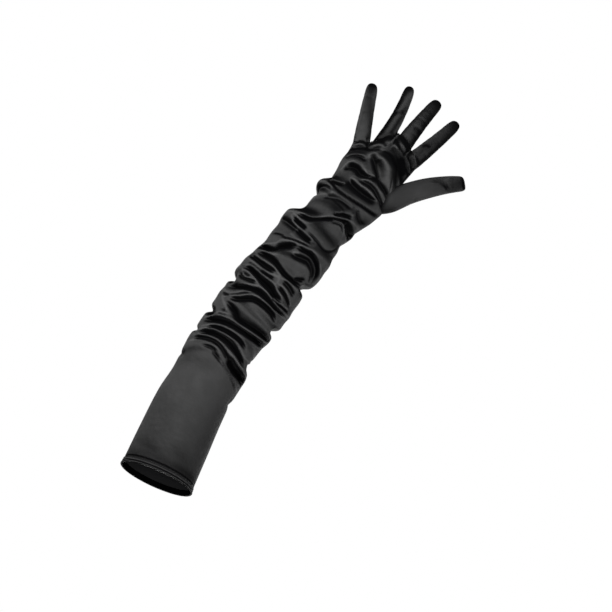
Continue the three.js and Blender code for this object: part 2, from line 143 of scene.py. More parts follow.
# The folds in the satin that the camera sees, as lines drawn on an upright sheet at
# the hem: millimetres across the picture's arm and along it, from the hem's middle. A valley
# has its half width in millimetres and its depth as a share of VALLEY_DEPTH too.
VALLEY_DEPTH = 1.1
VALLEYS = [
    ([(-40, 136), (-30, 139.5), (-24, 139.5), (-19, 136), (17, 116)], 1.8, 0.7),
    ([(-49, 138), (-36, 146), (-22, 146.5), (-4, 137.5)], 2.2, 0.85),
    ([(-10, 141), (2, 135), (8, 133), (19, 127)], 4.2, 1),
    ([(-48, 144.5), (-37, 152.5), (-20, 155), (-3, 150), (12, 140.5)], 3.2, 1),
    ([(-45, 153.5), (-38, 159), (-24, 162.3), (-7, 161.5), (3, 156)], 2.5, 1),
    ([(-51, 158), (-42, 165), (-28, 170), (2, 170.8), (15, 169)], 3.2, 1),
    ([(-43, 187), (-30, 184), (-18, 178.5), (12, 177.5), (17, 176)], 2.5, 1),
    ([(-43, 172), (-38, 174), (-33, 176.5)], 0.9, 0.8),
    ([(-41, 179.5), (-37, 178.3)], 1.2, 0.7),
    ([(-42, 191), (-34, 195), (-22, 203), (-15, 204.5), (3, 202.5), (12, 195)], 3, 0.95),
    ([(-50, 191.5), (-44, 192.5), (-40, 196.5), (-23, 210)], 1.2, 0.9),
    ([(-49, 198.5), (-30, 210.5), (-18, 213.5), (4, 208), (17, 206)], 2.8, 1),
    ([(-47, 218), (-41, 216), (-27, 219)], 1.8, 0.9),
    ([(-44, 220.5), (-40, 220.3), (-36, 221)], 1.1, 0.9),
    ([(-47, 224), (-41, 227), (-27, 225), (-12, 222.5), (-6, 219.5), (0, 217.5), (6, 217)], 4, 1),
    ([(-8, 216.5), (0, 213.3), (17, 211)], 1.4, 1),
    ([(-7, 228.5), (4, 224.7), (12, 219), (14.5, 215.5)], 1.9, 0.95),
    ([(-6, 235), (0, 234.3), (8, 231), (12, 228)], 2.6, 0.7),
    ([(-46, 231.5), (-36, 232.3), (-28, 231.5)], 0.9, 0.8),
    ([(-32, 231.8), (-22, 231.8), (-14, 231.8)], 1.5, 1),
    ([(-47, 238.5), (-32, 238), (-16, 238)], 2.6, 0.95),
    ([(-44, 245), (-27, 247.5), (-6, 241.3), (8, 240.5), (14, 238.5)], 2.6, 1),
    ([(2, 242), (7, 245), (12, 247.5)], 2.4, 0.9),
    ([(-45, 250.5), (-35, 255), (-28, 262.5), (-19, 269.5), (-12, 271.5)], 3.6, 1),
    ([(-15, 271), (1, 273), (12, 269), (19, 260), (20, 254), (19, 247)], 3, 1),
    ([(-15, 262), (0, 265.5), (6, 265.5), (15, 258), (17.5, 247)], 3.6, 0.75),
    ([(-42, 267.5), (-33, 273), (-28, 273), (0, 279)], 1.1, 0.95),
    ([(-24, 286), (-10, 283.7), (-4, 284)], 2.7, 1),
    ([(-42, 286), (-34, 286.5), (-22, 285.5)], 3.6, 0.5),
    ([(-33, 294), (-28, 292.7), (-15, 291)], 2.2, 1),
    ([(-16, 290), (0, 287.3), (10, 284.5), (15, 285), (18.5, 288), (20, 293), (20, 301)], 1.3, 0.8),
    ([(-33, 298.8), (-19, 302), (-4, 312), (12, 319.3), (20, 319)], 2.6, 1),
    ([(13, 317.5), (20, 315), (25, 310.5), (28, 306)], 5.5, 0.75),
    ([(1, 311.5), (8, 314), (13, 313.5), (17, 309)], 2, 0.5),
    ([(-2, 319), (3, 321.5), (7, 324.3), (17, 325.5)], 2.3, 1),
    ([(-20, 327.5), (-8, 334.5), (6, 334.5), (12, 332.5)], 3.2, 0.45),
    ([(-26, 325), (-28, 331), (-27, 336), (-22, 338.8), (-16, 338)], 1.8, 0.8),
    ([(-26, 344), (-18, 343.5), (-12, 342), (2, 341.2), (38, 340)], 1.5, 1),
    ([(-25, 344.5), (-13, 348), (-12, 350.5)], 2.6, 1),
    ([(15.5, 338.5), (18, 333.5), (24, 328), (30, 326)], 1.7, 0.85),
    ([(-9, 358), (-4, 355), (9, 353), (22, 353), (28, 354)], 4.6, 0.8),
    ([(-1, 361), (6, 363), (13, 363.5), (20, 361.8), (30, 355.5), (36, 347), (39.5, 343.5)], 2.8, 0.8),
    ([(-18.5, 362), (-15.5, 368.5), (-9, 370.5), (-2, 368.5), (11, 371.5)], 4.2, 0.9),
    ([(4, 369.3), (17, 372), (23, 369), (37, 356.5)], 2.4, 1),
    ([(-23, 372), (-20, 377), (-15, 381), (-9, 382), (-5, 380)], 2.6, 0.7),
    ([(-4, 390), (2, 386.5), (14, 375.5), (20, 373)], 3.2, 0.95),
    ([(4, 389), (11, 382), (21, 373)], 6, 0.3),
    ([(26, 381), (33, 364), (36, 358)], 1.2, 0.55),
    ([(-20, 388), (-14, 391.3), (-9, 392.5), (3, 399.5)], 1.5, 0.95),
    ([(1, 398.5), (9, 401.5), (21, 399), (30, 390), (36.5, 374), (38.5, 354)], 4.2, 0.85),
    ([(12, 405), (22, 403), (31, 396), (38, 386)], 5, 0.6),
]
# A crest stops the valleys on both its sides
CRESTS = [
    [(-50, 134), (-37, 142), (-25, 143.3), (-8, 132), (14, 121), (19, 117)],
    [(-50, 141), (-37, 148.5), (-24, 150.7), (-17, 149.5), (-10, 146), (14, 137), (20, 134)],
    [(-49, 147.5), (-44, 153), (-38, 156.5), (-30, 158), (-10, 157), (7, 150), (14, 148.5)],
    [(-48, 153), (-37, 162.5), (-22, 166.5), (-5, 166)],
    [(-51, 162), (-44, 168), (-32, 173), (-5, 174), (19, 173)],
    [(-48, 189), (-44, 185), (-32.5, 179), (-32.5, 177.5), (-43, 172.8)],
    [(-46, 189.5), (-29, 203), (-17, 208.5), (-3, 207.8), (5, 206), (18, 204.5)],
    [(-51, 195), (-44, 196.5), (-27, 208)],
    [(-42, 207.5), (-37, 211), (-26, 216.5), (-24, 218.5)],
    [(-46.5, 221), (-44, 218.7), (-40, 218.3), (-30, 220.8), (-26, 220.5), (-22, 218.5), (-10, 216),
        (10, 208.7), (18, 208)],
    [(-46.5, 221.5), (-44, 223.5), (-39, 223.8), (-29, 221.8)],
    [(-50, 224), (-46, 228.5), (-41, 230.8), (-26, 229), (-12, 228.5), (-4, 223.5), (6, 220.5),
        (13.5, 214.5), (2, 214.7), (-3, 216)],
    [(-9, 230.5), (2, 229), (14, 219.5)],
    [(-8, 237), (-3, 238), (7, 236.8), (13, 234)],
    [(-49, 235.5), (-42, 234.3), (-26, 234.3), (-12, 236)],
    [(-46, 247), (-43, 243), (-36, 242.5), (-27, 242.7), (-14, 240), (-10, 234), (-10, 230)],
    [(-47, 245.5), (-30, 252), (-24, 258), (-15, 264.5), (-9, 267)],
    [(-44, 253.5), (-35, 261.5), (-30, 268.5), (-20, 273.5), (-5, 275.3), (1, 276.7), (6, 275.5),
        (16, 269.5), (20.5, 264.5), (22.5, 258), (22, 250)],
    [(-26, 279), (-16, 278.8), (-3, 281), (1, 282.5), (0.5, 285), (-3, 286.3), (-16, 287.5),
        (-30, 290), (-36, 295)],
    [(-35, 297.5), (-24, 296.2), (-16, 298.5), (-4, 308.5)],
    [(-44, 292), (-30, 301.5), (6, 320), (18, 322.8), (30, 319)],
    [(2, 314.5), (9, 317), (13.5, 315.5), (17, 311), (18.5, 305)],
    [(-27, 320), (-25, 326), (-17, 333.5), (-14, 337.5), (-9, 339.5), (5, 339.8), (11, 338.3),
        (15, 335), (17, 331), (15, 328.5)],
    [(-31, 338), (-29, 341), (-25, 342.3), (-13, 340)],
    [(-10, 360), (4, 358.5), (10, 359), (23, 355.7), (29, 354.5), (31.5, 350)],
    [(-8, 361), (-4, 363), (2, 364.5), (13, 368.8), (25, 364.5), (38, 353)],
    [(-20.5, 360), (-19.5, 368), (-17, 373), (-12, 376.8), (-7, 377), (1, 372.5), (6, 372), (10, 374)],
    [(-24, 378), (-18, 384.5), (-9, 389), (0, 381), (11, 375.5)],
    [(-5, 391), (0, 395), (6, 397.5), (12, 397), (24, 388.5), (33, 375), (37, 358)],
]
# Creases at the digits' roots and joints: a drawn line, its half width and its depth
CREASES = [
    ([(-24, 383), (-18, 389.5), (-10, 394)], 1.6, 1.4),
    ([(-16.5, 403), (-14.5, 398), (-12, 393.5)], 1.2, 1.2),
    ([(-10, 400.5), (-7.5, 406), (0, 407), (6, 404.5)], 1.9, 1.6),
    ([(9.5, 420), (8.3, 413), (7.5, 405)], 1.3, 1.5),
    ([(8.8, 417), (16, 412.5), (24.3, 408.6)], 1.3, 1.0),
    ([(26, 419.5), (24.7, 413.6), (24.4, 406)], 1.2, 1.3),
    ([(28, 408), (33, 406), (38.5, 400.5)], 1.3, 1.4),
    ([(24, 404), (29, 399.5), (35, 396), (41, 394)], 1.5, 1.2),
    ([(-9, 436), (-4, 440), (2, 441)], 2.2, 0.4),
    ([(16, 436), (22, 437), (27, 434)], 2.0, 0.5),
    ([(33, 424), (37, 428), (42, 428)], 2.2, 0.4),
    ([(60, 401.5), (69.5, 405.7), (77.5, 404.8), (80, 402)], 1.7, 0.8),
]
# Cushions: the middle, the turn in degrees, the half length, the half width and the rise, and
# the painted light added there: painted highlight where positive, painted shade where negative
CUSHIONS = [
    ((-19, 391.8), 42, 6, 2.4, 1.3, 0.3),
    ((-4, 400.6), 25, 7.5, 3.2, 1.7, 0.35),
    ((15, 408.8), -18, 8, 2.6, 1.5, 0.25),
    ((34, 410.5), -38, 7.5, 2.4, 1.8, 0.3),
    ((33, 403), -35, 5, 1.8, 1.0, 0.2),
    ((-27.5, 423), 121, 24, 3.6, -0.4, -0.36),
    ((9, 391.5), -6, 12, 6, 2.1, 0.3),
    ((28, 376), -63, 15, 6, 2.2, 0.25),
    ((-41, 450), 118, 7, 4.5, 0, -0.25),
    ((-9, 462), 100, 7, 5, 0, -0.2),
    ((-3, 413), 20, 7, 3, 0.4, -0.25),
    ((84, 408), 70, 10, 8, 0, -0.34),
    ((72.5, 411.8), 40, 4.5, 2.6, 0.7, 0.5),
    ((24, 464), 85, 12, 9, 0, 0.1),
    ((29.5, 395), -50, 13, 5, -0.5, -0.36),
    ((17.5, 414.8), -28, 6.5, 2.6, 1.2, 0.45),
    ((62, 388), 40, 20, 10, 0, 0.28),
    ((43, 438), 72, 30, 10, 0, -0.16),
    ((26, 440), 85, 22, 6, 0, 0.1),
    ((24, 52), 98, 68, 26, 0, -0.21),
    ((-45, 35), 98, 40, 9, 0, 0.14),
    ((-22, 21.5), 3, 14, 5, -0.3, -0.17),
    ((11, 30), -5, 13, 7, -0.4, -0.12),
]
# Folds at the edges and out of the camera's sight, as lines of (angle, station) points:
# angle 0 is the back of the hand, 90 the thumb side and -90 the little finger's side
EDGE_VALLEYS = [
    ([(-120, 0.364), (-90, 0.366), (-60, 0.35)], 3.9, 0.35),
    ([(60, 0.285), (95, 0.298), (130, 0.3)], 6, 0.3),
    ([(-125, 0.46), (-90, 0.45), (-62, 0.434)], 3, 1.2),
    ([(60, 0.415), (95, 0.435), (130, 0.43)], 7.5, 0.73),
    ([(-135, 0.53), (-92, 0.521), (-60, 0.502), (-45, 0.496)], 4.4, 1.2),
    ([(60, 0.56), (92, 0.577), (130, 0.58)], 4.8, 1.4),
    ([(-135, 0.645), (-92, 0.638), (-55, 0.615)], 4.4, 1.4),
    ([(50, 0.725), (92, 0.748), (135, 0.75)], 4.8, 1.9),
    ([(-140, 1.02), (-92, 1.01), (-65, 0.995)], 3, 0.5),
    ([(-135, 1.27), (-90, 1.265), (-60, 1.24)], 4, 0.5),
    # Plain gathers on the palm side of the arm, and a few on the palm
    ([(105, 0.36), (160, 0.385), (215, 0.365)], 3.6, 0.83),
    ([(125, 0.405), (170, 0.395), (200, 0.402)], 2.4, 1),
    ([(115, 0.43), (180, 0.415), (240, 0.435)], 3, 1.5),
    ([(150, 0.45), (190, 0.455), (235, 0.447)], 2.4, 1.5),
    ([(110, 0.47), (170, 0.485), (225, 0.465)], 2.8, 1.6),
    ([(105, 0.505), (140, 0.51), (175, 0.5)], 2.1, 1.4),
    ([(130, 0.53), (190, 0.515), (245, 0.54)], 3.3, 1.6),
    ([(105, 0.575), (165, 0.585), (225, 0.57)], 3.3, 1.4),
    ([(110, 0.6), (145, 0.612), (180, 0.607)], 2.1, 1.4),
    ([(120, 0.625), (185, 0.638), (245, 0.62)], 2.8, 1.8),
    ([(105, 0.67), (160, 0.685), (220, 0.67)], 2.7, 1.7),
    ([(170, 0.705), (210, 0.7), (240, 0.708)], 2.1, 1.4),
    ([(125, 0.73), (185, 0.72), (245, 0.735)], 3, 1.7),
    ([(100, 0.785), (160, 0.79), (225, 0.8)], 3, 1.5),
    ([(105, 0.82), (135, 0.815), (170, 0.825)], 2.1, 1.4),
    ([(120, 0.85), (180, 0.84), (250, 0.855)], 3.3, 1.6),
    ([(105, 0.905), (165, 0.9), (230, 0.91)], 2.8, 1.6),
    ([(125, 0.98), (185, 0.965), (240, 0.985)], 3, 1.3),
    ([(115, 1.03), (160, 1.02), (200, 1.035)], 2.7, 0.74),
    ([(120, 1.09), (180, 1.07), (240, 1.1)], 3.3, 0.91),
    ([(140, 1.3), (175, 1.36), (215, 1.33)], 3.6, 0.49),
    ([(110, 1.42), (135, 1.55), (150, 1.7)], 3.6, 0.69),
    ([(150, 1.83), (180, 1.87), (215, 1.82)], 2.7, 0.83),
]


def cubic(table, at):
    """Values of a table at the places at, on a smooth curve through its rows."""
    table = np.asarray(table, float)
    xs = table[:, 0]
    ys = table[:, 1:]
    slopes = np.empty_like(ys)
    slopes[1:-1] = (ys[2:] - ys[:-2]) / (xs[2:] - xs[:-2])[:, None]
    slopes[0] = (ys[1] - ys[0]) / (xs[1] - xs[0])
    slopes[-1] = (ys[-1] - ys[-2]) / (xs[-1] - xs[-2])
    at = np.clip(np.asarray(at, float), xs[0], xs[-1])
    i = np.clip(np.searchsorted(xs, at, side="right") - 1, 0, len(xs) - 2)
    h = xs[i + 1] - xs[i]
    t = ((at - xs[i]) / h)[..., None]
    h = h[..., None]
    a = (1 - t) ** 2 * (1 + 2 * t) * ys[i]
    b = t * t * (3 - 2 * t) * ys[i + 1]
    return a + b + h * t * (1 - t) * ((1 - t) * slopes[i] - t * slopes[i + 1])


def smoothstep(x, low, high):
    t = np.clip((x - low) / (high - low), 0, 1)
    return t * t * (3 - 2 * t)


def ring_angles(count):
    return -90 + 360 * np.arange(count) / count


def height_at(station):
    return np.minimum(station, 1) * SLEEVE_LENGTH + np.maximum(station - 1, 0) * HAND_LENGTH


SECTION_TABLE = [
    (at, centre * size[0], wide * size[0] / 2, deep * size[1] / 2)
    for at, size, centre, wide, deep in SECTIONS
]


def station_at(height):
    on_hand = np.maximum(height - SLEEVE_LENGTH, 0) / HAND_LENGTH
    return np.minimum(height, SLEEVE_LENGTH) / SLEEVE_LENGTH + on_hand


def sections(station):
    """The middle's place, half the width and depth, and the arm's lean, evened over a span."""
    rows = cubic(SECTION_TABLE, station)
    ahead = np.minimum(height_at(station) + LEAN_SPAN / 2, ROOT_HEIGHT)
    behind = np.maximum(height_at(station) - LEAN_SPAN / 2, 0)
    shift = cubic(SECTION_TABLE, station_at(ahead)) - cubic(SECTION_TABLE, station_at(behind))
    return rows[..., 0], rows[..., 1], rows[..., 2], np.arctan2(shift[..., 0], ahead - behind)


def root_rise(side):
    return ROOT_RISE * cubic(ROOT_LINE, side)[..., 0]


def hand_surface(station, angle, sunk):
    """Points of the arm's and hand's skin, sunk by a distance in millimetres."""
    centre, half_width, half_depth, lean = sections(station)
    half_width = half_width - sunk
    half_depth = half_depth - sunk
    turned = np.radians(angle)
    side = np.sin(turned) * half_width
    arch = smoothstep(station, ARCH_START, 2) * root_rise(np.sin(turned))
    x = centre + side * np.cos(lean)
    y = -np.cos(turned) * half_depth
    z = height_at(station) + arch - side * np.sin(lean)
    return np.stack([x, y, z], -1)


def drawn_place(points):
    """Where the camera sees points: millimetres across and along, from the hem's middle."""
    ahead = points - CAMERA_AT
    sides = np.stack([LEVEL, UPRIGHT], -1)
    seen = ahead @ sides / (ahead @ FORWARD)[..., None] * SHEET_AWAY
    return seen + CAMERA_AT @ sides


def rounded(points, steps=12):
    """A smooth line through a few points, the ends included."""
    p = np.array([points[0], *points, points[-1]], float)
    p[0] = 2 * p[1] - p[2]
    p[-1] = 2 * p[-2] - p[-3]
    out = []
    for k in range(1, len(p) - 2):
        t = np.linspace(0, 1, steps, endpoint=False)[:, None]
        a, b, c, d = p[k - 1], p[k], p[k + 1], p[k + 2]
        squared = (2 * a - 5 * b + 4 * c - d) * t**2
        cubed = (3 * b - a - 3 * c + d) * t**3
        out.append(0.5 * (2 * b + (c - a) * t + squared + cubed))
    return np.concatenate([*out, p[-2:-1]])


# Columns run round the hand: the first half over its back from the little finger's side
# to the thumb side, the second half back over the palm side. Each finger takes an eighth
# of them in front and an eighth behind.
PER_FINGER = 22
HALF = 4 * PER_FINGER
COLUMNS = 2 * HALF
FINGER_COLUMNS = 2 * PER_FINGER

centre_top, half_top = (float(v) for v in sections(np.array(2.0))[:2])
fingers = [
    dict(
        root=(centre_top + root * PALM_WIDTH, ROOT_HEIGHT + rise * ROOT_RISE),
        lean=lean,
        bend=bend,
        length=length,
        curl=FINGER_CURL,
        width=FINGER_WIDTH * girth,
        depth=FINGER_DEPTH * girth,
        sections=FINGER_SECTIONS,
    )
    for root, rise, lean, bend, length, girth in FINGERS.values()
]
thumb_centre = float(sections(np.array(THUMB_ROOT[0]))[0])
thumb = dict(
    root=(thumb_centre + THUMB_ROOT[1] * PALM_WIDTH, float(height_at(THUMB_ROOT[0]))),
    lean=THUMB_LEAN,
    bend=THUMB_BEND,
    length=THUMB_LENGTH,
    curl=THUMB_CURL,
    width=THUMB_WIDTH,
    depth=THUMB_DEPTH,
    sections=THUMB_SECTIONS,
)


def digit_point(digit, at, angle, sunk=0.0):
    """Points of a finger's or the thumb's skin. angle is 0 on its back and 90 on its thumb side."""
    at, angle = np.broadcast_arrays(np.asarray(at, float), np.asarray(angle, float))
    turned = np.radians(digit["lean"] + digit["bend"] * at / 2)
    reach = digit["length"] * at
    back = np.sin(digit["curl"]) * reach * np.maximum(at, 0)
    facing = np.radians(digit["lean"] + digit["bend"] * at)
    size = cubic(digit["sections"], at)
    half_width = size[..., 0] * digit["width"] / 2 - sunk
    half_depth = size[..., 1] * digit["depth"] / 2 - sunk
    across = np.sin(np.radians(angle)) * half_width
    x = digit["root"][0] + reach * np.sin(turned) + across * np.cos(facing)
    y = back - np.cos(np.radians(angle)) * half_depth
    z = digit["root"][1] + reach * np.cos(turned) - across * np.sin(facing)
    return np.stack([x, y, z], -1)


ROOT_LINE_END = 1.15
START_ROUNDS = 12
START_STEP = 0.8


def root_height(x):
    side = np.clip((x - centre_top) / half_top, -ROOT_LINE_END, ROOT_LINE_END)
    return ROOT_HEIGHT + root_rise(side)


def finger_start(digit, angle):
    """Where each column of a finger meets the line of the roots, found step by step."""
    at = np.zeros_like(angle)
    for _ in range(START_ROUNDS):
        p = digit_point(digit, at, angle)
        at = at + (root_height(p[..., 0]) - p[..., 2]) / digit["length"] * START_STEP
    return at


local = ring_angles(FINGER_COLUMNS)
starts = [finger_start(f, local) for f in fingers]
rings = [digit_point(f, s, local) for f, s in zip(fingers, starts)]
for k in range(3):
    shared = (rings[k][PER_FINGER] + rings[k + 1][0]) / 2
    rings[k][PER_FINGER] = shared
    rings[k + 1][0] = shared


def finger_ring(row, k):
    """The entries of a hand's row that make the ring of finger k."""
    front, back = k * PER_FINGER, COLUMNS - k * PER_FINGER
    return [*row[front : front + PER_FINGER + 1], *row[back - PER_FINGER + 1 : back]]


# The ring of finger roots in the order of the hand's columns
root_ring = np.zeros((COLUMNS, 3))
for k, ring in enumerate(rings):
    root_ring[finger_ring(np.arange(COLUMNS), k)] = ring
    root_ring[-k * PER_FINGER] = ring[0]

angle_at_root = np.degrees(np.arcsin(np.clip((root_ring[:, 0] - centre_top) / half_top, -1, 1)))
angle_at_root[0], angle_at_root[HALF] = -90, 90
angle_at_root[HALF + 1 :] = 180 - angle_at_root[HALF + 1 :]
finger_share = np.arange(COLUMNS) % PER_FINGER / PER_FINGER
at_crotch = np.abs(2 * finger_share - 1) ** 2.5
at_crotch[[0, HALF]] = 1

# Rows run up the glove, close together where the folds are and at the finger roots
FIRST_STATION = 0.018
CUFF_END = 0.29
DENSE_FROM = 1.9
CUFF_ROWS, ARM_ROWS, HAND_ROWS, ROOT_ROWS = 34, 262, 84, 14
stations = np.concatenate(
    [
        np.linspace(FIRST_STATION, CUFF_END, CUFF_ROWS, endpoint=False),
        np.linspace(CUFF_END, 1.0, ARM_ROWS, endpoint=False),
        np.linspace(1.0, DENSE_FROM, HAND_ROWS, endpoint=False),
        2 - (2 - DENSE_FROM) * (1 - np.linspace(0, 1, ROOT_ROWS)) ** 1.6,
    ]
)
CROTCH_SPAN = 0.13


def plain_hand():
    """Stations, angles, points and outward directions of the arm and hand without folds. The
    last rows turn into the ring of finger roots."""
    station = np.repeat(stations[:, None], COLUMNS, 1)
    blend = smoothstep(station, 1.35, 1.95)
    angle = ring_angles(COLUMNS) * (1 - blend) + angle_at_root * blend
    points = hand_surface(station, angle, 0)
    outward = points - hand_surface(station, angle, 1)
    near_root = smoothstep(station, 1.8, 2.0)
    t = np.clip((station - 2 + CROTCH_SPAN) / CROTCH_SPAN, 0, 1)
    crotch = 1 - np.sqrt(1 - t * t * 0.999)
    close = (1 - at_crotch) * near_root + at_crotch * crotch
    move = root_ring[None] - points
    follow = smoothstep(station, 1.72, 2.0)
    points[..., 0] += move[..., 0] * follow
    points[..., 1] += move[..., 1] * close
    points[..., 2] += move[..., 2] * follow
    points[-1] = root_ring
    return station, angle, points, outward


plain_station, plain_angle, plain_points, plain_outward = plain_hand()
front_places = drawn_place(plain_points[:, : HALF + 1])


def on_glove(line):
    """The angles and stations where the camera sees the points of a drawn line."""
    found = []
    for target in line:
        gap = np.linalg.norm(front_places - target, axis=-1)
        row, column = np.unravel_index(gap.argmin(), gap.shape)
        row, column = np.clip(row, 1, len(stations) - 2), np.clip(column, 1, HALF - 1)
        rows, columns = slice(row - 1, row + 2, 2), slice(column - 1, column + 2, 2)
        up = np.diff(front_places[rows, column], axis=0)[0]
        across = np.diff(front_places[row, columns], axis=0)[0]
        left_over = target - front_places[row, column]
        step = np.linalg.lstsq(np.stack([up, across], -1), left_over, rcond=None)[0].clip(-0.5, 0.5)
        angle = plain_angle[row, column]
        angle += step @ [np.diff(plain_angle[rows, column])[0], np.diff(plain_angle[row, columns])[0]]
        found.append((angle, stations[row] + step[0] * np.diff(stations[rows])[0]))
    return found


LINE_ENDS = 0.15
END_NARROWING = 0.45
CREST_REACH = 12.0
# The painted highlight along a crest: full within the first reach in millimetres, gone by the second
CREST_TOP = 0.4
CREST_WIDTH = 1.8
VALLEY_SHARPNESS = 1.8
VALLEY_REACH = 1.45
VALLEY_JOINING = 4
# Painted shade on valley floors, with a share of it on the edge valleys, fading out between two shares
# of a valley's reach, and the painted light of a plain stretch
EDGE_SHADE = 0.6
SHADE_FROM, SHADE_TO = 0.35, 0.95
PLAIN_PAINTED_LIGHT = 0.5
# A valley is a fine line, a soft dip and a wide one: reach in millimetres and share
SOFTNESS = [(0.5, 0.8), (2.5, 0.35), (6.0, 0.5)]


def to_curve(curve, px, py):
    """The distance of places to a curve, and where along it they are nearest, from 0 to 1."""
    best = np.full(px.shape, np.inf)
    place = np.zeros_like(px)
    lengths = np.hypot(*np.diff(curve, axis=0).T)
    runs = np.concatenate([[0], np.cumsum(lengths)])
    for k in range(len(curve) - 1):
        ax, ay = curve[k]
        dx, dy = curve[k + 1] - curve[k]
        t = np.clip(((px - ax) * dx + (py - ay) * dy) / (dx * dx + dy * dy), 0, 1)
        far = np.hypot(px - ax - t * dx, py - ay - t * dy)
        place = np.where(far < best, (runs[k] + t * lengths[k]) / runs[-1], place)
        best = np.minimum(far, best)
    return best, place


def from_line(line, around, height, reach):
    """Which places lie within reach of a line of (angle, station) points, how far they are
    from it and where along it, from 0 to 1."""
    turn = math.pi * ARM_WIDTH
    curve = rounded([(math.radians(a) * ARM_WIDTH / 2, float(height_at(s))) for a, s in line])
    x = around - turn * np.round((around - curve[len(curve) // 2, 0]) / turn)
    low, high = curve.min(0) - reach, curve.max(0) + reach
    near = (x > low[0]) & (x < high[0]) & (height > low[1]) & (height < high[1])
    px, py = x[near], height[near]
    best, place = to_curve(curve, px, py)
    return near, np.minimum(best, reach), place


def fold_field(angle, height):
    """How far the folds sink the satin at angles in degrees and heights in millimetres, and
    the painted light of each place: painted shade down to 0 on a valley's floor, 0.5 on a
    plain stretch, and painted highlight up to 1 on a crest."""
    around = np.radians(angle) * ARM_WIDTH / 2
    to_crest = np.full_like(around, CREST_REACH)
    for line in CRESTS:
        near, far, _ = from_line(on_glove(line), around, height, CREST_REACH)
        to_crest[near] = np.minimum(to_crest[near], far)
    total = np.zeros_like(around)
    floor_painted_shade = np.zeros_like(around)
    seen = [(on_glove(line), wide, deep) for line, wide, deep in VALLEYS]
    valleys = [(*row, 1.0) for row in seen] + [(*row, EDGE_SHADE) for row in EDGE_VALLEYS]
    for line, wide, deep, shade in valleys:
        reach = VALLEY_REACH * wide
        near, far, place = from_line(line, around, height, reach)
        ends = smoothstep(np.minimum(place, 1 - place), 0, LINE_ENDS)
        stop = np.minimum(reach * (1 - END_NARROWING * (1 - ends)), far + to_crest[near] + 0.01)
        flank = np.clip(1 - far / stop, 0, 1)
        total[near] += (deep * wide * ends * VALLEY_DEPTH * flank**VALLEY_SHARPNESS) ** VALLEY_JOINING
        # painted shade on the valley's floor
        valley_painted_shade = shade * min(1, deep) * ends * (1 - smoothstep(far / stop, SHADE_FROM, SHADE_TO))
        floor_painted_shade[near] = np.maximum(floor_painted_shade[near], valley_painted_shade)
    # painted highlight along the crests
    crest_painted_highlight = 1 - smoothstep(to_crest, CREST_TOP, CREST_WIDTH)
    return total ** (1 / VALLEY_JOINING), PLAIN_PAINTED_LIGHT * (1 - floor_painted_shade) * (1 + crest_painted_highlight)


def softened(field, reach):
    """The field evened over a reach in millimetres, round the arm and along it."""
    steps = (np.diff(height_at(stations)).mean(), math.pi * ARM_WIDTH / COLUMNS)
    for axis, step in enumerate(steps):
        half = math.ceil(3 * reach / step)
        share = np.exp(-0.5 * (np.arange(-half, half + 1) * step / reach) ** 2)
        share /= share.sum()
        ends = [(0, 0), (0, 0)]
        ends[axis] = (half, half)
        padded = np.pad(field, ends, mode="wrap" if axis else "edge")
        count = field.shape[axis]
        field = sum(w * np.take(padded, np.arange(n, n + count), axis) for n, w in enumerate(share))
    return field


# The web between the thumb and the wrist: its rise, its middle's angle and station, and its
# reach in both
WEB_RISE = 4.0
WEB_ANGLE, WEB_STATION = 90, 1.33
WEB_TURN, WEB_SPAN = 26, 0.11
# How much painted shade a crease lays on the satin, the share of the crease left at its
# ends, and the share of its length that an end takes
CREASE_SHADE = 0.75
CREASE_END = 0.3
CREASE_TAPER = 0.2
# How far facing the camera a place must be for the drawn relief to show there
FACING_FROM, FACING_TO = 0.05, 0.4


def relief(points, normals, painted_light):
    """The points and their painted light with the drawn creases and cushions, where the camera
    sees them, and how far the creases come down near each. The creases add painted shade and
    the cushions painted highlight or painted shade."""
    place = drawn_place(points)
    seen = smoothstep(-(normals @ FORWARD), FACING_FROM, FACING_TO)
    lift = np.zeros(len(points))
    room = np.zeros(len(points))
    for line, wide, deep in CREASES:
        far, along = to_curve(rounded(line), place[:, 0], place[:, 1])
        ends = smoothstep(np.minimum(along, 1 - along), 0, CREASE_TAPER)
        core = seen * np.exp(-((far / wide) ** 2)) * (CREASE_END + (1 - CREASE_END) * ends)
        lift -= deep * core
        # painted shade along the crease
        painted_light = painted_light * (1 - CREASE_SHADE * core)
        room = np.maximum(room, deep * (1 - smoothstep(far, 3 * wide, 4 * wide)))
    for middle, turned, long, wide, rise, painted_light_by in CUSHIONS:
        x, y = (place - middle).T
        cos, sin = math.cos(math.radians(turned)), math.sin(math.radians(turned))
        lengthwise = (x * cos + y * sin) / long
        crosswise = (y * cos - x * sin) / wide
        core = seen * np.exp(-(lengthwise**2) - crosswise**2)
        lift += rise * core
        # painted highlight or painted shade on the cushion
        painted_light = painted_light + painted_light_by * core
        room = np.maximum(room, -rise * (core > 0.02))
    return points + normals * lift[:, None], painted_light.clip(0, 1), room


def deepest(field, rows=9, columns=4):
    """The largest value of the field within a few rows and columns."""
    field = np.max([np.roll(field, n, 1) for n in range(-columns, columns + 1)], 0)
    padded = np.pad(field, [(rows, rows), (0, 0)], mode="edge")
    return np.max([padded[n : n + len(field)] for n in range(2 * rows + 1)], 0)


RIPPLE = 0.35
HEM_SHADE = 0.5
HEM_SHADE_HEIGHT = 1.5 * HEM_HEIGHT
HEM_SHADE_REACH = 5.5


